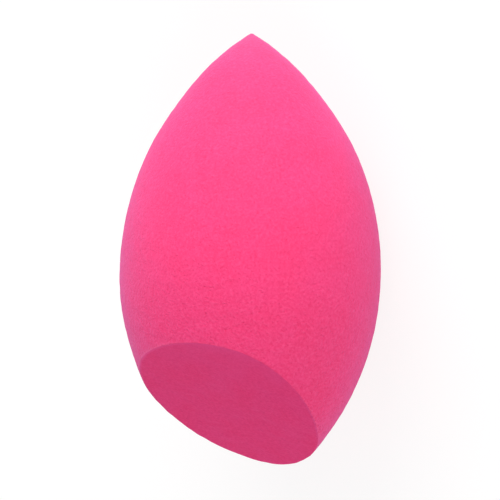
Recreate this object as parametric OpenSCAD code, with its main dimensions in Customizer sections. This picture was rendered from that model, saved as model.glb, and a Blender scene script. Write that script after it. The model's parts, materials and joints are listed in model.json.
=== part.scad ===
/* [Sponge] */
// Diameter at the widest place
girth_d = 39; // [30:0.5:48]
// Length from point to point, before the cut
uncut_l = 71.2; // [60:0.2:88]
// Radius that rounds the tip
tip_r = 0.5; // [0.3:0.1:3]

/* [Cut face] */
// Angle of the cut face from square across the body
cut_angle = 38; // [25:0.5:48]
// Distance along the body from its widest place to the middle of the cut
cut_reach = 23.7; // [18:0.1:26]

/* [Resting] */
// Depth by which the side that it lies on is pressed flat
rest_flat = 0.45; // [0.2:0.05:1.5]
// Angle by which the body lies tip down when it balances on that side
lie_tilt = 4.4; // [0:0.1:10]

/* [Hidden] */
// Facets of a preview circle
$fn = 180;

// The outline is two equal arcs that meet in a point at each end
girth_r = girth_d / 2;
half_l = uncut_l / 2;
arc_r = (half_l * half_l + girth_r * girth_r) / girth_d;
// Distance of each arc's centre from the body's axis
arc_offset = arc_r - girth_r;

// The tip's circle touches both arcs from inside
tip_centre = sqrt(pow(arc_r - tip_r, 2) - pow(arc_offset, 2));
tip_join = tip_centre * arc_r / (arc_r - tip_r);

// How far a cutting block runs past what it cuts
overrun = girth_r;
block_l = uncut_l + 2 * overrun;

// Half of the spindle's outline, on the plus side of its axis, point up
module half_outline() {
    intersection() {
        translate([-arc_offset, 0]) circle(r = arc_r);
        translate([0, -half_l]) square([girth_r, half_l + tip_join]);
    }
    intersection() {
        translate([0, tip_centre]) circle(r = tip_r);
        translate([0, tip_join]) square([tip_r, tip_r]);
    }
}

// Block whose top face is the blade's plane, seen with the body's tip up
module blade_block() {
    translate([0, 0, -cut_reach])
        rotate([0, cut_angle, 0])
            translate([-block_l / 2, -block_l / 2, -block_l]) cube(block_l);
}

// The turned body with its slanting cut, tip up, its widest place at the origin
module cut_body() {
    difference() {
        rotate_extrude() half_outline();
        blade_block();
    }
}

// The body lies on its long side, tip towards +X, and rolls to its balance about the arc's centre
module lay_down() {
    translate([0, 0, arc_r - rest_flat])
        rotate([0, 90 + lie_tilt, 0])
            translate([arc_offset, 0, 0]) children();
}

// One block of foam, pressed flat where it lies on the table
module sponge_body() {
    color("hotpink")
        difference() {
            lay_down() cut_body();
            translate([-block_l / 2, -block_l / 2, -block_l]) cube(block_l);
        }
}

sponge_body();
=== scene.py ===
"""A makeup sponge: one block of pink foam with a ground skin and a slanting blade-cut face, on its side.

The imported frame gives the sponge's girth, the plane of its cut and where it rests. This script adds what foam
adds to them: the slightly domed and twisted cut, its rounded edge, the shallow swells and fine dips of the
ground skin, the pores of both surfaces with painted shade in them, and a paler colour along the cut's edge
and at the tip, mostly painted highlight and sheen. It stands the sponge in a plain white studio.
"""
import json
import logging
import math
from dataclasses import dataclass
from enum import IntEnum
from typing import Any

import bpy
import numpy as np
from mathutils import Matrix, Vector


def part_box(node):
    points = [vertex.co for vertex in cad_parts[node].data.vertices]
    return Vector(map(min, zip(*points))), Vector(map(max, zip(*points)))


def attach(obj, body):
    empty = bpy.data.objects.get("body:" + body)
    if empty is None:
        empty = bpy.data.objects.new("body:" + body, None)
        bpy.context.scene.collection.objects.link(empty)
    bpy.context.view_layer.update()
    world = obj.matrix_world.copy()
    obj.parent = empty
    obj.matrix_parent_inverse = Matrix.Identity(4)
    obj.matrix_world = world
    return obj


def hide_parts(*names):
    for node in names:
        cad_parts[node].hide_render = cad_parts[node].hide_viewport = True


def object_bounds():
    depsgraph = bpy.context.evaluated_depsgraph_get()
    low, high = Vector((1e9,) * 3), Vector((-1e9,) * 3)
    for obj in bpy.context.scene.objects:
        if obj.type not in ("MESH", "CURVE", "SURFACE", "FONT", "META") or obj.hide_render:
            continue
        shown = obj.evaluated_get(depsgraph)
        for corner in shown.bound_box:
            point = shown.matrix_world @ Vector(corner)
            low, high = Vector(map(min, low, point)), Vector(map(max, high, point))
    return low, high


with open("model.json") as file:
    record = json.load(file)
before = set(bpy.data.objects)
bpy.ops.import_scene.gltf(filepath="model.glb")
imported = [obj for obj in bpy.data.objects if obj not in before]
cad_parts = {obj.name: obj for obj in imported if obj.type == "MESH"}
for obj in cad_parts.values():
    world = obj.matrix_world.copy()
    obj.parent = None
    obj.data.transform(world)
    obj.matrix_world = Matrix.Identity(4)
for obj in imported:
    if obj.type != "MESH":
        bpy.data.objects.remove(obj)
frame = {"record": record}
cad_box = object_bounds()

LOG = logging.getLogger("sponge")
MM = 0.001
NODE = "sponge_body"
BODY = "root"
CUT_MOUNT = "cut_face"
LIGHT_AND_WEAR = "light_and_wear"
RELIEF_AND_SHADING = "relief_and_shading"
HALF_TURN = 180

# Colour sockets of a Mix node, whose names are the same as those of its number sockets
MIX_FIRST = 6
MIX_SECOND = 7
MIX_COLOUR = 2

Array = np.ndarray


def linear(hex_colour: str) -> tuple[float, float, float, float]:
    """Turns an sRGB hex colour into linear values, by the sRGB standard's own curve.

    Args:
        hex_colour: Six hex digits.

    Returns:
        Red, green, blue and an alpha of 1.
    """
    values = np.array([int(hex_colour[start:start + 2], 16) for start in (0, 2, 4)]) / 255
    low = values / 12.92
    high = ((values + 0.055) / 1.055) ** 2.4
    red, green, blue = np.where(values <= 0.04045, low, high)
    return float(red), float(green), float(blue), 1.0


def unit(vector: Array) -> Array:
    """Returns the vector scaled to a length of 1."""
    return vector / np.linalg.norm(vector)


def smooth_step(values: Array) -> Array:
    """Returns 3 v^2 - 2 v^3 of the values, held between 0 and 1."""
    held = np.clip(values, 0, 1)
    return held * held * (3 - 2 * held)


def turn_gap(turn: Array, middle: float) -> Array:
    """Returns how many degrees the angles, in radians, lie from the middle angle, in degrees."""
    return np.degrees(np.abs(np.angle(np.exp(1j * (turn - math.radians(middle))))))


def add_node(
    tree: bpy.types.NodeTree,
    kind: str,
    settings: dict[str, Any] | None = None,
    inputs: dict[str | int, Any] | None = None,
) -> bpy.types.Node:
    """Adds a node with its settings and links.

    Args:
        tree: The node tree that gets the node.
        kind: The node's type name.
        settings: Values for the node's own properties.
        inputs: For each input socket, a value or the output socket that feeds it.

    Returns:
        The new node.
    """
    node = tree.nodes.new(kind)
    for name, value in (settings or {}).items():
        setattr(node, name, value)
    for socket, value in (inputs or {}).items():
        if isinstance(value, bpy.types.NodeSocket):
            tree.links.new(value, node.inputs[socket])
        else:
            node.inputs[socket].default_value = value
    return node


class Zone(IntEnum):
    """The two surfaces of the foam block, numbered as its material slots."""

    SKIN = 0
    CUT = 1


@dataclass(frozen=True)
class Swell:
    """A shallow bulge or hollow that grinding leaves in the skin.

    Attributes:
        turn: Where it lies around the body, in degrees from the cut's high side towards +Y.
        along: Where it lies along the body, in mm from the girth towards the tip.
        height: How far it stands out, in mm; below zero it is a hollow.
        reach: Its half-length along the body, in mm.
        spread: Its half-width around the body, in degrees; 180 or more goes all the way round.
    """

    turn: float
    along: float
    height: float
    reach: float
    spread: float

    def lift(self, along: Array, turn: Array) -> Array:
        """Works out the swell as a bell curve along the body times one around it.

        Args:
            along: Places along the body, in mm.
            turn: Angles around the body, in radians.

        Returns:
            How far the skin stands out there, in mm.
        """
        lengthwise = np.exp(-(((along - self.along) / self.reach) ** 2))
        if self.spread >= HALF_TURN:
            return self.height * lengthwise
        return self.height * lengthwise * np.exp(-((turn_gap(turn, self.turn) / self.spread) ** 2))


@dataclass(frozen=True)
class Relief:
    """Fine unevenness of a foam surface: a sum of sine waves that run in all directions.

    Attributes:
        shortest: The shortest wave, in mm.
        longest: The longest wave, in mm.
        depth: The root mean square depth, in mm.
        waves: How many waves are summed.
        seed: Seed for the waves' directions and phases.
    """

    shortest: float
    longest: float
    depth: float
    waves: int
    seed: int

    def depth_at(self, points: Array) -> Array:
        """Sums sin(k . p + phase) over the waves, each with its own direction and length.

        The sum is scaled by depth * sqrt(2 / waves), which makes depth its root mean square.

        Args:
            points: Places in mm, with x, y and z last.

        Returns:
            How far each place sinks, in mm.
        """
        draw = np.random.default_rng(self.seed)
        directions = draw.normal(size=(self.waves, 3))
        directions /= np.linalg.norm(directions, axis=1, keepdims=True)
        lengths = draw.uniform(self.shortest, self.longest, self.waves)
        phases = draw.uniform(0, 2 * math.pi, self.waves)
        total = np.zeros(points.shape[:-1])
        for direction, length, phase in zip(directions, lengths, phases):
            total += np.sin(points @ (direction * 2 * math.pi / length) + phase)
        return total * self.depth * math.sqrt(2 / self.waves)


@dataclass(frozen=True)
class BladeCut:
    """The cut surface, as a height over the frame's cut plane.

    A blade that is drawn through squeezed foam leaves a face that is a little domed and twisted once the foam
    springs back.

    Attributes:
        lift: Height at the body's axis, in mm.
        slope: Rise towards the high side, in mm per mm.
        bow_along: Half the bend along the slope, per mm.
        bow_across: Half the bend across it, per mm.
        twist: Twist of the surface, per mm.
        curl_along: How the twist grows up the slope, per square mm.
        curl_across: How it grows across, per square mm.
    """

    lift: float = 0.30
    slope: float = 0.021
    bow_along: float = -0.0007
    bow_across: float = -0.0015
    twist: float = 0.0005
    curl_along: float = 0.0001
    curl_across: float = -0.00015

    def height(self, up: Array, across: Array) -> Array:
        """Works out lift + slope u + a u^2 + b w^2 + u w (twist + c u + d w).

        Args:
            up: Distance u up the slope from the body's axis, in mm.
            across: Distance w across it, in mm.

        Returns:
            The height over the cut plane, in mm.
        """
        bend = self.bow_along * up ** 2 + self.bow_across * across ** 2
        turning = self.twist + self.curl_along * up + self.curl_across * across
        return self.lift + self.slope * up + bend + turning * up * across


@dataclass(frozen=True)
class RimStretch:
    """A stretch of the cut's edge, fading away from it, that turns the colour paler or opens the pores.

    Attributes:
        turn: The middle of the stretch, in degrees around the body from the high side towards +Y.
        spread: Its half-width, in degrees.
        strength: How strong the effect is at the edge.
        skin_reach: How far it reaches into the skin before it fades to about a third, in mm.
        cut_reach: The same for the cut face.
    """

    turn: float
    spread: float
    strength: float
    skin_reach: float
    cut_reach: float

    def share(self, skin_gap: Array, cut_gap: Array, turn: Array) -> Array:
        """Works out the effect: a bell curve around the body times a decay away from the edge.

        Args:
            skin_gap: Distance from the edge on the skin, in mm, and 0 on the face.
            cut_gap: Distance from the edge on the face, in mm, and 0 on the skin.
            turn: Angles around the body, in radians.

        Returns:
            How strong the effect is there.
        """
        around = np.exp(-((turn_gap(turn, self.turn) / self.spread) ** 2))
        away = np.exp(-skin_gap / self.skin_reach - cut_gap / self.cut_reach)
        return self.strength * around * away


@dataclass(frozen=True)
class PoreLayer:
    """One size of pore in a foam surface.

    Attributes:
        cell: Distance from pore to pore, in mm.
        width: The pore's width as a share of that distance.
        depth: How deep it looks, in mm.
        tint: How far the colour turns to the pore colour, from 0 to 1.
        kept: The share of cells that hold such a pore.
        floor: The share of the pore's width that its floor takes.
    """

    cell: float
    width: float
    depth: float
    tint: float
    kept: float
    floor: float = 0.25


@dataclass(frozen=True)
class FoamFinish:
    """A surface of soft polyurethane foam: matt, fine-pored and a little velvety at grazing angles.

    Attributes:
        name: What the finish is.
        colour: The dyed foam, as an sRGB hex value.
        pale: The dye where it took less.
        pore: The shaded inside of a pore.
        wall: The lit walls between pores.
        lit_and_worn: The paler colour along the cut's edge, mostly painted highlight and sheen there, and at
        the tip.
        pores: The sizes of pore that it has.
        grain: Width of the fine grain, as it is drawn, in mm.
        grain_depth: Depth of that grain, in mm.
        grain_tint: How far that grain turns the colour to the pores' and the walls' colours.
        cloud: Width of the dye's uneven patches, in mm.
        roughness: The shader's roughness.
        specular: The shader's specular level.
        sheen: Weight of the velvety lift at grazing angles.
        sheen_tint: Its colour, as an sRGB hex value.
        sheen_roughness: Its roughness.
        cloud_detail: How many finer layers the patches' noise has.
        cloud_fall: How strong each layer is against the one before.
        cloud_ends: The noise values at which the dye is all the plain and all the pale one.
        grain_detail: How many finer layers the grain's noise has.
        grain_fall: How strong each layer is against the one before.
        grain_middle: The noise value between pores and walls, where the grain leaves the dye as it is.
        pore_end: The noise value at which the grain shows most of the pore colour.
        wall_end: The noise value at which it shows most of the wall colour.
    """

    name: str
    colour: str
    pale: str
    pore: str
    wall: str
    lit_and_worn: str
    pores: tuple[PoreLayer, ...]
    grain: float
    grain_depth: float
    grain_tint: float
    cloud: float
    roughness: float
    specular: float
    sheen: float
    sheen_tint: str
    sheen_roughness: float
    cloud_detail: float = 2.0
    cloud_fall: float = 0.5
    cloud_ends: tuple[float, float] = (0.35, 0.65)
    grain_detail: float = 3.0
    grain_fall: float = 0.6
    grain_middle: float = 0.5
    pore_end: float = 0.25
    wall_end: float = 0.75

    def material(self) -> bpy.types.Material:
        """Builds the finish as a node material on Object coordinates.

        The dye varies in soft patches. A fine noise, the grain, paints shade with the pores' colour where the
        noise is low and light with the walls' where it is high. Round pores with painted shade are laid over
        that, and then the paler colour along the cut's edge and at the tip, mostly painted highlight and sheen.
        Grain and pores also set the bump, and both show more where the mesh says so: most towards the cut end,
        where the painted shade and light stand in for the key light grazing the skin.

        Returns:
            The material.
        """
        made = bpy.data.materials.new(self.name)
        made.use_nodes = True
        tree = made.node_tree
        tree.nodes.clear()
        place = add_node(tree, "ShaderNodeTexCoord").outputs["Object"]
        # How strong the bump and the painted shade and light of the grain and pores are, from the mesh
        relief_and_shading = add_node(tree, "ShaderNodeAttribute", {"attribute_name": RELIEF_AND_SHADING}).outputs["Fac"]
        cloud = add_node(tree, "ShaderNodeTexNoise", inputs={
            "Vector": place,
            "Scale": 1 / (self.cloud * MM),
            "Detail": self.cloud_detail,
            "Roughness": self.cloud_fall,
        })
        grain = add_node(tree, "ShaderNodeTexNoise", inputs={
            "Vector": place,
            "Scale": 1 / (self.grain * MM),
            "Detail": self.grain_detail,
            "Roughness": self.grain_fall,
        })
        plain_end, pale_end = self.cloud_ends
        patch = add_node(tree, "ShaderNodeMapRange", inputs={
            "Value": cloud.outputs["Fac"], "From Min": plain_end, "From Max": pale_end})
        colour = add_node(tree, "ShaderNodeMix", {"data_type": "RGBA"}, {
            0: patch.outputs[0],
            MIX_FIRST: linear(self.colour),
            MIX_SECOND: linear(self.pale),
        }).outputs[MIX_COLOUR]
        # The grain paints shade with the pores' colour and light with the walls'
        most = add_node(tree, "ShaderNodeMath", {"operation": "MULTIPLY"}, {0: relief_and_shading, 1: self.grain_tint})
        for end, tone in ((self.pore_end, self.pore), (self.wall_end, self.wall)):
            share = add_node(tree, "ShaderNodeMapRange", inputs={
                "Value": grain.outputs["Fac"],
                "From Min": self.grain_middle,
                "From Max": end,
                "To Max": most.outputs[0],
            })
            colour = add_node(tree, "ShaderNodeMix", {"data_type": "RGBA"}, {
                0: share.outputs[0], MIX_FIRST: colour, MIX_SECOND: linear(tone)}).outputs[MIX_COLOUR]
        height = add_node(tree, "ShaderNodeMath", {"operation": "MULTIPLY"}, {
            0: grain.outputs["Fac"], 1: self.grain_depth}).outputs[0]
        for layer in self.pores:
            colour, height = self.add_pores(tree, layer, place, relief_and_shading, colour, height)
        height = add_node(tree, "ShaderNodeMath", {"operation": "MULTIPLY"}, {
            0: height, 1: relief_and_shading}).outputs[0]
        # Paler colour from the mesh: mostly painted highlight and sheen along the cut's edge, and a paler tip
        light_and_wear = add_node(tree, "ShaderNodeAttribute", {"attribute_name": LIGHT_AND_WEAR})
        colour = add_node(tree, "ShaderNodeMix", {"data_type": "RGBA"}, {
            0: light_and_wear.outputs["Fac"], MIX_FIRST: colour, MIX_SECOND: linear(self.lit_and_worn)}).outputs[MIX_COLOUR]
        bump = add_node(tree, "ShaderNodeBump", inputs={
            "Strength": 1.0, "Distance": MM, "Height": height})
        shader = add_node(tree, "ShaderNodeBsdfPrincipled", inputs={
            "Base Color": colour,
            "Roughness": self.roughness,
            "Specular IOR Level": self.specular,
            "Sheen Weight": self.sheen,
            "Sheen Tint": linear(self.sheen_tint),
            "Sheen Roughness": self.sheen_roughness,
            "Normal": bump.outputs["Normal"],
        })
        add_node(tree, "ShaderNodeOutputMaterial", inputs={"Surface": shader.outputs[0]})
        return made

    def add_pores(
        self,
        tree: bpy.types.NodeTree,
        layer: PoreLayer,
        place: bpy.types.NodeSocket,
        relief_and_shading: bpy.types.NodeSocket,
        colour: bpy.types.NodeSocket,
        height: bpy.types.NodeSocket,
    ) -> tuple[bpy.types.NodeSocket, bpy.types.NodeSocket]:
        """Adds one size of pore: a round dip with painted shade about each cell's point, in some of the cells.

        Args:
            tree: The material's node tree.
            layer: The size of pore.
            place: Object coordinates.
            relief_and_shading: How strong the bump and the painted pore shade are, from the mesh.
            colour: The colour so far.
            height: The height so far, in mm.

        Returns:
            The colour and the height with these pores.
        """
        cells = add_node(tree, "ShaderNodeTexVoronoi", inputs={
            "Vector": place, "Scale": 1 / (layer.cell * MM), "Randomness": 1.0})
        dip = add_node(tree, "ShaderNodeMapRange", {"interpolation_type": "SMOOTHSTEP"}, {
            "Value": cells.outputs["Distance"],
            "From Min": layer.width / 2,
            "From Max": layer.floor * layer.width / 2,
        })
        held = add_node(tree, "ShaderNodeMath", {"operation": "LESS_THAN"}, {
            0: cells.outputs["Color"], 1: layer.kept})
        pit = add_node(tree, "ShaderNodeMath", {"operation": "MULTIPLY"}, {
            0: dip.outputs[0], 1: held.outputs[0]}).outputs[0]
        # Painted shade in the pore
        most = add_node(tree, "ShaderNodeMath", {"operation": "MULTIPLY"}, {0: relief_and_shading, 1: layer.tint})
        tint = add_node(tree, "ShaderNodeMath", {"operation": "MULTIPLY"}, {0: pit, 1: most.outputs[0]})
        mixed = add_node(tree, "ShaderNodeMix", {"data_type": "RGBA"}, {
            0: tint.outputs[0], MIX_FIRST: colour, MIX_SECOND: linear(self.pore)})
        lower = add_node(tree, "ShaderNodeMath", {"operation": "MULTIPLY_ADD"}, {
            0: pit, 1: -layer.depth, 2: height})
        return mixed.outputs[MIX_COLOUR], lower.outputs[0]


# Polyurethane foam, cast as a block and ground to shape: the grinding opens its finest cells to a skin like
# suede. The real cells are about 0.1 to 0.2 mm wide, and the grain is drawn as coarse as it needs to show. At
# grazing angles the skin looks paler and cooler, which its bluish sheen gives.
GROUND_SKIN = FoamFinish(
    name="ground_foam_skin",
    colour="F53C74",
    pale="F53F79",
    pore="E91C56",
    wall="FF5A90",
    # Paler colour along the cut's edge, mostly painted highlight and sheen, and at the tip
    lit_and_worn="F96798",
    pores=(
        PoreLayer(cell=0.45, width=0.9, depth=0.03, tint=0.2, kept=0.6),
        PoreLayer(cell=1.2, width=0.3, depth=0.02, tint=0.15, kept=0.3),
    ),
    grain=0.38,
    grain_depth=0.09,
    grain_tint=0.38,
    cloud=6.0,
    roughness=0.7,
    specular=0.15,
    sheen=0.26,
    sheen_tint="88A0FF",
    sheen_roughness=0.6,
)

# The same foam sliced with a blade: the cells are cut clean across, so the face is flatter and duller. Its
# grain too is drawn as coarse as it needs to show.
BLADE_CUT = FoamFinish(
    name="blade_cut_foam",
    colour="EB3774",
    pale="EA3C7A",
    pore="CC2762",
    wall="F25291",
    # Paler colour along the cut's edge, mostly painted highlight and sheen, and at the tip
    lit_and_worn="EC5597",
    pores=(
        PoreLayer(cell=0.4, width=0.8, depth=0.02, tint=0.2, kept=0.7),
        PoreLayer(cell=1.0, width=0.3, depth=0.02, tint=0.15, kept=0.3),
    ),
    grain=0.42,
    grain_depth=0.03,
    grain_tint=0.32,
    cloud=5.0,
    roughness=0.75,
    specular=0.1,
    sheen=0.1,
    sheen_tint="B3A0FF",
    sheen_roughness=0.5,
)


@dataclass
class SpongeBody:
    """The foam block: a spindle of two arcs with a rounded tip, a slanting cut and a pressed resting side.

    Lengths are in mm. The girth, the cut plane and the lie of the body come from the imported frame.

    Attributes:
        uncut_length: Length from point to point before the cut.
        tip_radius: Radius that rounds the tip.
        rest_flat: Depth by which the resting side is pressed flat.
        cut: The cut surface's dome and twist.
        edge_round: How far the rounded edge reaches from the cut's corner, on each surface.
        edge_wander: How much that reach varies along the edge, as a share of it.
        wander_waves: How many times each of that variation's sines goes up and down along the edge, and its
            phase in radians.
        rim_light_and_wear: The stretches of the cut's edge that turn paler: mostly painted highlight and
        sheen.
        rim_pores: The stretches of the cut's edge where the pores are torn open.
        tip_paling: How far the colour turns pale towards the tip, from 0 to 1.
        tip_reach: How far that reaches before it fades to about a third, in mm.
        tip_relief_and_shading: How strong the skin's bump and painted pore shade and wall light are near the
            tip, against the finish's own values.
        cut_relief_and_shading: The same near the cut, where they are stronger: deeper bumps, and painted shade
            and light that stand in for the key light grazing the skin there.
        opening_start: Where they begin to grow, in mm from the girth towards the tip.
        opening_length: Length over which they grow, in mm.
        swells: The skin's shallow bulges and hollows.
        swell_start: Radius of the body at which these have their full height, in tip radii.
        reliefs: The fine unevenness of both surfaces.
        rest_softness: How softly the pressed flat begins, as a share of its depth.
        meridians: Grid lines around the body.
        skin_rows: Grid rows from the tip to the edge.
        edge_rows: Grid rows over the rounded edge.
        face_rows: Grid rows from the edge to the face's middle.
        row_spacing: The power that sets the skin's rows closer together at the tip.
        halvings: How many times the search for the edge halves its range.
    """

    uncut_length: float = 71.2
    tip_radius: float = 0.5
    rest_flat: float = 0.45
    cut: BladeCut = BladeCut()
    edge_round: float = 0.08
    edge_wander: float = 0.3
    wander_waves: tuple[tuple[int, float], ...] = ((7, 1), (13, 2), (29, 0))
    rim_light_and_wear: tuple[RimStretch, ...] = (
        # Painted highlight: a pale line along this stretch of the edge, where light catches the thin rim
        RimStretch(turn=34, spread=36, strength=0.6, skin_reach=0.3, cut_reach=0.04),
        # Painted sheen: a paler, bluer band on the face beside this stretch of the edge
        RimStretch(turn=-22, spread=31, strength=0.36, skin_reach=0.05, cut_reach=4.2),
        # Painted highlight: a pale line along this stretch of the edge, as light shining through the thin rim
        RimStretch(turn=140, spread=75, strength=0.6, skin_reach=0.1, cut_reach=0.12),
        # A paler strip along this short stretch of the edge
        RimStretch(turn=-80, spread=18, strength=0.5, skin_reach=0.12, cut_reach=0.08),
    )
    rim_pores: tuple[RimStretch, ...] = (
        RimStretch(turn=62, spread=18, strength=2.5, skin_reach=0.3, cut_reach=0.3),
        RimStretch(turn=-85, spread=20, strength=1.5, skin_reach=0.6, cut_reach=0.1),
    )
    tip_paling: float = 0.42
    tip_reach: float = 4.2
    tip_relief_and_shading: float = 1.05
    cut_relief_and_shading: float = 1.38
    opening_start: float = 5
    opening_length: float = 14
    swells: tuple[Swell, ...] = (
        Swell(turn=0, along=32, height=0.13, reach=3, spread=180),
        Swell(turn=0, along=25, height=-0.12, reach=4, spread=180),
        Swell(turn=56, along=26, height=-0.11, reach=5, spread=50),
        Swell(turn=56, along=12, height=-0.06, reach=8, spread=50),
        Swell(turn=56, along=-4, height=0.2, reach=8, spread=50),
        Swell(turn=-124, along=17, height=0.09, reach=6, spread=50),
        Swell(turn=-124, along=1, height=-0.09, reach=5, spread=50),
        Swell(turn=180, along=-30, height=0.25, reach=5, spread=30),
    )
    swell_start: float = 4
    reliefs: tuple[Relief, ...] = (
        Relief(shortest=9, longest=18, depth=0.03, waves=40, seed=11),
        Relief(shortest=1.1, longest=3.0, depth=0.012, waves=70, seed=12),
    )
    rest_softness: float = 0.12
    meridians: int = 384
    skin_rows: int = 186
    edge_rows: int = 7
    face_rows: int = 50
    row_spacing: float = 1.25
    halvings: int = 50

    def __post_init__(self) -> None:
        """Works out the body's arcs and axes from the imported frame.

        Each side of the outline is one large arc, whose centre lies arc_offset beyond the axis. The body's
        own directions are along (towards the tip), up (towards the cut's high side) and side (towards +Y),
        and girth_centre is the point of its axis at the girth. The direction slope_up runs up the cut plane.
        """
        low, high = (np.array(corner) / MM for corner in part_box(NODE))
        mounts = {mount["name"]: mount for mount in frame["record"]["mounts"]}
        self.cut_centre = np.array(mounts[CUT_MOUNT]["pos_m"], float) / MM
        self.cut_normal = unit(np.array(mounts[CUT_MOUNT]["axis"], float))
        self.girth_radius = (high[1] - low[1]) / 2
        half = self.uncut_length / 2
        self.arc_radius = (half ** 2 + self.girth_radius ** 2) / (2 * self.girth_radius)
        self.arc_offset = self.arc_radius - self.girth_radius
        self.join_angle = math.acos(self.arc_offset / (self.arc_radius - self.tip_radius))
        # The arc that lies on the table has its centre above the origin, and the axis runs through the cut's
        # centre at the arcs' offset from it
        arc_centre = np.array([0, 0, self.arc_radius - self.rest_flat])
        towards = arc_centre - self.cut_centre
        rise = math.atan2(towards[2], towards[0]) - math.asin(self.arc_offset / np.linalg.norm(towards))
        self.along = np.array([math.cos(rise), 0, math.sin(rise)])
        self.up = np.array([-math.sin(rise), 0, math.cos(rise)])
        self.side = np.array([0.0, 1.0, 0.0])
        self.girth_centre = arc_centre - self.arc_offset * self.up
        self.slope_up = unit(np.cross(self.side, self.cut_normal))

    def outline(self, length: Array) -> tuple[Array, Array, Array]:
        """Follows the half-outline: the tip's small circle, then the large arc.

        At an angle a, a circle of radius r adds r sin(a) to its centre's place along the axis and r cos(a) to
        its centre's distance from the axis, which is 0 for the tip and minus arc_offset for the arc.

        Args:
            length: Distance along the outline from the tip, in mm.

        Returns:
            The place along the axis from the girth and the radius, in mm, and the angle between the outline's
            outward direction and square to the axis, in radians.
        """
        tip_length = self.tip_radius * (math.pi / 2 - self.join_angle)
        on_tip = length < tip_length
        tip_angle = math.pi / 2 - length / self.tip_radius
        arc_angle = self.join_angle - (length - tip_length) / self.arc_radius
        tip_centre = (self.arc_radius - self.tip_radius) * math.sin(self.join_angle)
        along = np.where(
            on_tip,
            tip_centre + self.tip_radius * np.sin(tip_angle),
            self.arc_radius * np.sin(arc_angle),
        )
        radius = np.where(
            on_tip,
            self.tip_radius * np.cos(tip_angle),
            self.arc_radius * np.cos(arc_angle) - self.arc_offset,
        )
        return along, radius, np.where(on_tip, tip_angle, arc_angle)

    def dip(self, points: Array) -> Array:
        """Returns how far the foam's fine unevenness sinks the surface at the points, in mm."""
        return sum(relief.depth_at(points) for relief in self.reliefs)

    def skin_points(self, length: Array, turn: Array) -> Array:
        """Places points of the ground skin: the outline turned about the axis, with its swells and dips.

        Args:
            length: Distance along the outline from the tip, in mm.
            turn: Angle around the body from the high side towards +Y, in radians.

        Returns:
            The points in the row frame, in mm.
        """
        along, radius, facing = self.outline(length)
        fade = smooth_step(radius / (self.swell_start * self.tip_radius))
        for swell in self.swells:
            radius = radius + fade * swell.lift(along, turn)
        across = np.cos(turn)[..., None] * self.up + np.sin(turn)[..., None] * self.side
        smooth = self.girth_centre + along[..., None] * self.along + radius[..., None] * across
        outward = np.sin(facing)[..., None] * self.along + np.cos(facing)[..., None] * across
        return smooth - self.dip(smooth)[..., None] * outward

    def cut_points(self, up: Array, across: Array) -> Array:
        """Places points of the cut surface: its dome and twist over the cut plane, with its dips.

        Args:
            up: Distance up the slope from the body's axis, in mm.
            across: Distance across it, in mm.

        Returns:
            The points in the row frame, in mm.
        """
        flat = self.cut_centre + up[..., None] * self.slope_up + across[..., None] * self.side
        height = self.cut.height(up, across) - self.dip(flat)
        return flat + height[..., None] * self.cut_normal

    def over_cut(self, points: Array) -> tuple[Array, Array, Array]:
        """Measures points against the cut surface: their offset from its middle along each of its directions.

        Args:
            points: Points in the row frame, in mm.

        Returns:
            Distance up the slope, distance across it, and height over the surface along its plane's normal,
            in mm.
        """
        offset = points - self.cut_centre
        up = offset @ self.slope_up
        across = offset @ self.side
        return up, across, (points - self.cut_points(up, across)) @ self.cut_normal

    def edge_lengths(self, turn: Array) -> Array:
        """Finds where each meridian meets the cut surface, by halving the stretch in which it does.

        Args:
            turn: Angle of each meridian, in radians.

        Returns:
            The distance along the outline from the tip to the cut, in mm.
        """
        # The cut is nearer to the tip than the large arc is long
        near = np.zeros_like(turn)
        far = np.full_like(turn, 2 * self.join_angle * self.arc_radius)
        for _ in range(self.halvings):
            middle = (near + far) / 2
            inside = self.over_cut(self.skin_points(middle, turn))[2] < 0
            near = np.where(inside, middle, near)
            far = np.where(inside, far, middle)
        return (near + far) / 2

    def grid(self) -> tuple[Array, Array, Array, Array]:
        """Works out the whole surface as rows of points around the body.

        The skin's rows run from the tip to the edge, at a power of even steps. The edge is a quadratic blend
        that starts on the skin, heads for the corner and ends on the face: (1 - b)^2 skin +
        2 b (1 - b) corner + b^2 face. The face's rows are its outline, shrunk in even steps to its middle.

        Returns:
            The rows of points, how worn the foam is at each from 0 to 1, how open its pores are, and the
            point in the middle of the face.
        """
        turn = np.arange(self.meridians) * 2 * math.pi / self.meridians
        edge_length = self.edge_lengths(turn)
        corner = self.skin_points(edge_length, turn)
        waves = sum(np.sin(count * turn + phase) for count, phase in self.wander_waves)
        reach = self.edge_round * (1 + self.edge_wander * waves / len(self.wander_waves))
        steps = np.linspace(0, 1, self.skin_rows + 1)[1:] ** self.row_spacing
        skin_length = steps[:, None] * (edge_length - reach)
        skin = self.skin_points(skin_length, np.broadcast_to(turn, skin_length.shape))
        up, across, _ = self.over_cut(corner)
        middle_up, middle_across = up.mean(), across.mean()
        span = np.hypot(up - middle_up, across - middle_across)
        shares = np.linspace(1, 0, self.face_rows + 1)[:-1, None] * (1 - reach / span)
        face = self.cut_points(
            middle_up + shares * (up - middle_up), middle_across + shares * (across - middle_across))
        blend = np.linspace(0, 1, self.edge_rows + 2)[1:-1, None, None]
        edge = (1 - blend) ** 2 * skin[-1] + 2 * blend * (1 - blend) * corner + blend ** 2 * face[0]
        corner_gap = 2 * reach * (1 - blend[..., 0])
        skin_gap = np.concatenate([
            edge_length + reach - skin_length,
            corner_gap,
            np.zeros_like(shares * span),
        ])
        cut_gap = np.concatenate([
            np.zeros_like(skin_length),
            np.zeros_like(corner_gap),
            (shares[0] - shares) * span,
        ])
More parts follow.
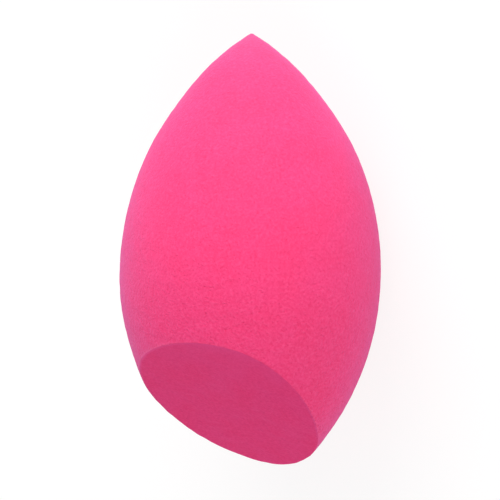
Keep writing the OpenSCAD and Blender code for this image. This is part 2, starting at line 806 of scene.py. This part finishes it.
        # Paler colour: mostly painted highlight and sheen along the edge, and paler towards the tip
        light_and_wear = sum(stretch.share(skin_gap, cut_gap, turn) for stretch in self.rim_light_and_wear)
        light_and_wear[:self.skin_rows] += self.tip_paling * np.exp(-skin_length / self.tip_reach)
        # Bump and painted pore shade grow at torn pores and towards the cut end, for the key light grazing
        # there
        relief_and_shading = 1 + sum(stretch.share(skin_gap, cut_gap, turn) for stretch in self.rim_pores)
        opened = smooth_step((self.opening_start - self.outline(skin_length)[0]) / self.opening_length)
        relief_and_shading[:self.skin_rows] += self.tip_relief_and_shading - 1 + (self.cut_relief_and_shading - self.tip_relief_and_shading) * opened
        middle = self.cut_points(np.array(middle_up), np.array(middle_across))
        return np.concatenate([skin, edge, face]), np.clip(light_and_wear, 0, 1), relief_and_shading, middle

    def rest(self, points: Array) -> Array:
        """Presses the resting side flat: z becomes (z + sqrt(z^2 + w^2)) / 2 with a small w.

        Args:
            points: Points in the row frame, in mm.

        Returns:
            The pressed points, in mm.
        """
        softness = self.rest_softness * self.rest_flat
        pressed = points.copy()
        pressed[..., 2] = (points[..., 2] + np.sqrt(points[..., 2] ** 2 + softness ** 2)) / 2
        return pressed

    def build(self) -> bpy.types.Object:
        """Makes the foam block's mesh, with its two surfaces and the values that its finishes read.

        Returns:
            The object, at the origin, with its place in its mesh.
        """
        rows, light_and_wear, relief_and_shading, middle = self.grid()
        tip = self.skin_points(np.zeros(1), np.zeros(1))
        points = self.rest(np.concatenate([tip, rows.reshape(-1, 3), middle[None]])) * MM
        count = len(rows)
        face_start = self.skin_rows + self.edge_rows // 2
        ring = np.arange(self.meridians)
        following = np.roll(ring, -1)
        first = 1 + np.arange(count - 1)[:, None] * self.meridians
        second = first + self.meridians
        quads = np.stack([first + ring, first + following, second + following, second + ring], axis=-1)
        last = 1 + (count - 1) * self.meridians
        top = np.stack([np.zeros_like(ring), 1 + following, 1 + ring], axis=-1)
        bottom = np.stack([np.full_like(ring, len(points) - 1), last + ring, last + following], axis=-1)
        mesh = bpy.data.meshes.new("foam_block")
        faces = top.tolist() + quads.reshape(-1, 4).tolist() + bottom.tolist()
        mesh.from_pydata(points.tolist(), [], faces)
        zones = np.full(len(mesh.polygons), int(Zone.SKIN), np.int32)
        zones[self.meridians * (1 + face_start):] = int(Zone.CUT)
        mesh.polygons.foreach_set("material_index", zones)
        mesh.polygons.foreach_set("use_smooth", np.ones(len(mesh.polygons), bool))
        shares = {
            LIGHT_AND_WEAR: np.concatenate([[self.tip_paling], light_and_wear.ravel(), [0]]),
            RELIEF_AND_SHADING: np.concatenate([[self.tip_relief_and_shading], relief_and_shading.ravel(), [1]]),
        }
        for name, values in shares.items():
            attribute = mesh.attributes.new(name, "FLOAT", "POINT")
            attribute.data.foreach_set("value", values.astype(np.float32))
        mesh.update()
        piece = bpy.data.objects.new("foam_block", mesh)
        bpy.context.scene.collection.objects.link(piece)
        return piece

    def dress(self, piece: bpy.types.Object) -> None:
        """Gives the piece its two finishes, in the order of Zone."""
        for finish in (GROUND_SKIN, BLADE_CUT):
            piece.data.materials.append(finish.material())

    def apex(self) -> Array:
        """Returns the point, in mm, where the two arcs would meet without the tip's rounding."""
        return self.girth_centre + self.uncut_length / 2 * self.along


@dataclass(frozen=True)
class PhotoCamera:
    """A long lens that sees the sponge as the photograph does.

    Attributes:
        frame_px: Width and height of the picture, in pixels, which are counted from 0 at their middles.
        apex_px: Where the tip's sharp point would be in the picture, from its left and top.
        px_per_mm: Scale of the picture at the tip.
        lean: Angle in degrees by which the cut end comes towards the camera.
        turn: Angle in degrees around the body from the picture's right to the cut's high side.
        roll: Turn of the picture in degrees.
        distance: From the lens to the tip, in mm.
        sensor: Width of the sensor, in mm.
        clip_factor: The camera sees from this many times nearer than the tip to this many times farther.
    """

    frame_px: float = 500
    apex_px: tuple[float, float] = (251.25, 32.2)
    px_per_mm: float = 6.695
    lean: float = -2.95
    turn: float = 124.65
    roll: float = -0.19
    distance: float = 747
    sensor: float = 36
    clip_factor: float = 10

    def axes(self, body: SpongeBody) -> Matrix:
        """Works out the camera's right, up and back directions.

        They are the body's own, turned about its axis by turn, then leant by lean, then rolled by roll.

        Args:
            body: The sponge, whose axis stands nearly upright in the picture.

        Returns:
            A matrix with the three directions as its columns.
        """
        turn, lean, roll = (math.radians(angle) for angle in (self.turn, self.lean, self.roll))
        right = math.cos(turn) * body.up - math.sin(turn) * body.side
        front = math.sin(turn) * body.up + math.cos(turn) * body.side
        top = math.cos(lean) * body.along + math.sin(lean) * front
        back = math.cos(lean) * front - math.sin(lean) * body.along
        columns = (
            math.cos(roll) * right - math.sin(roll) * top,
            math.sin(roll) * right + math.cos(roll) * top,
            back,
        )
        return Matrix(np.stack(columns, axis=1).tolist())

    def build(self, body: SpongeBody) -> None:
        """Makes the scene's camera, so placed that the sponge's sharp point lands on its pixel.

        The focal length is the sensor's width * distance * px_per_mm / frame_px.

        Args:
            body: The sponge.
        """
        axes = self.axes(body)
        middle = (self.frame_px - 1) / 2
        offset = Vector((
            (middle - self.apex_px[0]) / self.px_per_mm,
            (self.apex_px[1] - middle) / self.px_per_mm,
            self.distance,
        ))
        data = bpy.data.cameras.new("photo_camera")
        data.sensor_width = self.sensor
        data.lens = self.sensor * self.distance * self.px_per_mm / self.frame_px
        data.clip_start = self.distance / self.clip_factor * MM
        data.clip_end = self.distance * self.clip_factor * MM
        camera = bpy.data.objects.new("photo_camera", data)
        camera.matrix_world = Matrix.Translation((Vector(body.apex()) + axes @ offset) * MM) @ axes.to_4x4()
        bpy.context.scene.collection.objects.link(camera)
        bpy.context.scene.camera = camera


@dataclass(frozen=True)
class Softbox:
    """A square studio lamp that faces the sponge.

    Attributes:
        name: The lamp's name.
        direction: From the sponge towards the lamp, in the row frame.
        distance: How far away it is, in metres.
        size: Its side, in metres.
        power: Its power, in watts.
    """

    name: str
    direction: tuple[float, float, float]
    distance: float
    size: float
    power: float

    def build(self, target: Vector) -> None:
        """Makes the lamp and aims it.

        Args:
            target: The point that it faces, in metres.
        """
        data = bpy.data.lights.new(self.name, "AREA")
        data.shape = "SQUARE"
        data.size = self.size
        data.energy = self.power
        lamp = bpy.data.objects.new(self.name, data)
        towards = Vector(self.direction).normalized()
        lamp.location = target + towards * self.distance
        lamp.rotation_mode = "QUATERNION"
        lamp.rotation_quaternion = towards.to_track_quat("Z", "Y")
        bpy.context.scene.collection.objects.link(lamp)


@dataclass
class Studio:
    """A white floor and sky, a key softbox beyond the tip and three weaker ones round the sponge.

    Attributes:
        ambient: Strength of the sky's light on the object.
        floor_size: The floor's side, in metres.
        floor_white: The floor's own colour.
        floor_lift: Share of the floor's look that is plain white, which softens the shadow.
        floor_glow: Strength of that white, so that the floor shows white where no shadow lies.
        floor_gap: How far the floor lies under the sponge, in mm.
        lamps: The softboxes.
    """

    ambient: float = 0.365
    floor_size: float = 4.0
    floor_white: str = "F2F2F2"
    floor_lift: float = 0.78
    floor_glow: float = 1.05
    floor_gap: float = 0.02
    lamps: tuple[Softbox, ...] = (
        Softbox(name="key_softbox", direction=(0.90, 0.0, 0.44), distance=0.8, size=0.6, power=6.5),
        Softbox(name="near_side_softbox", direction=(0.66, -0.69, 0.30), distance=0.8, size=0.5, power=1.22),
        Softbox(name="far_side_softbox", direction=(0.0, 0.98, 0.21), distance=0.8, size=0.5, power=1.22),
        Softbox(name="cut_side_softbox", direction=(-0.63, -0.42, 0.66), distance=0.8, size=0.5, power=2.2),
    )

    def background_rays(self, tree: bpy.types.NodeTree) -> bpy.types.NodeSocket:
        """Adds a value that is 1 for what the camera sees directly, in a gloss or through glass.

        Args:
            tree: The node tree that gets it.

        Returns:
            The output socket with the value.
        """
        path = add_node(tree, "ShaderNodeLightPath")
        seen = add_node(tree, "ShaderNodeMath", {"operation": "MAXIMUM"}, {
            0: path.outputs["Is Camera Ray"], 1: path.outputs["Is Glossy Ray"]})
        return add_node(tree, "ShaderNodeMath", {"operation": "MAXIMUM"}, {
            0: seen.outputs[0], 1: path.outputs["Is Transmission Ray"]}).outputs[0]

    def build_sky(self) -> None:
        """Makes the world: even light on the object, and plain white behind it."""
        world = bpy.data.worlds.new("studio_sky")
        world.use_nodes = True
        tree = world.node_tree
        tree.nodes.clear()
        light = add_node(tree, "ShaderNodeBackground", inputs={"Strength": self.ambient})
        white = add_node(tree, "ShaderNodeBackground", inputs={"Strength": 1.0})
        for node in (light, white):
            node.inputs["Color"].default_value = linear("FFFFFF")
        mixed = add_node(tree, "ShaderNodeMixShader", inputs={
            0: self.background_rays(tree), 1: light.outputs[0], 2: white.outputs[0]})
        add_node(tree, "ShaderNodeOutputWorld", inputs={"Surface": mixed.outputs[0]})
        bpy.context.scene.world = world

    def build_floor(self) -> None:
        """Makes the floor: matt white, lifted towards plain white for the camera, with its soft shadow."""
        half = self.floor_size / 2
        level = -self.floor_gap * MM
        corners = [(-half, -half, level), (half, -half, level), (half, half, level), (-half, half, level)]
        mesh = bpy.data.meshes.new("studio_floor")
        mesh.from_pydata(corners, [], [(0, 1, 2, 3)])
        floor = bpy.data.objects.new("studio_floor", mesh)
        bpy.context.scene.collection.objects.link(floor)
        # Uncoated studio paper has no gloss, so the eye sees an even white and the sponge's shadow
        made = bpy.data.materials.new("matt_white_paper")
        made.use_nodes = True
        tree = made.node_tree
        tree.nodes.clear()
        paper = add_node(tree, "ShaderNodeBsdfDiffuse", inputs={"Color": linear(self.floor_white)})
        white = add_node(tree, "ShaderNodeEmission", inputs={"Strength": self.floor_glow})
        share = add_node(tree, "ShaderNodeMath", {"operation": "MULTIPLY"}, {
            0: self.background_rays(tree), 1: self.floor_lift})
        mixed = add_node(tree, "ShaderNodeMixShader", inputs={
            0: share.outputs[0], 1: paper.outputs[0], 2: white.outputs[0]})
        add_node(tree, "ShaderNodeOutputMaterial", inputs={"Surface": mixed.outputs[0]})
        mesh.materials.append(made)

    def build(self) -> None:
        """Makes the sky, the floor and the lamps, and sets the view transform."""
        low, high = cad_box
        target = (low + high) / 2
        self.build_sky()
        self.build_floor()
        for lamp in self.lamps:
            lamp.build(target)
        bpy.context.scene.view_settings.view_transform = "Standard"


def main() -> None:
    """Builds the camera, the studio and the foam block, in that order, and reports the block."""
    logging.basicConfig(level=logging.INFO, format="%(name)s: %(message)s")
    body = SpongeBody()
    PhotoCamera().build(body)
    Studio().build()
    piece = body.build()
    body.dress(piece)
    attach(piece, BODY)
    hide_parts(NODE)
    LOG.info("%s: %d points, %d faces", piece.name, len(piece.data.vertices), len(piece.data.polygons))


if __name__ == "__main__":
    main()
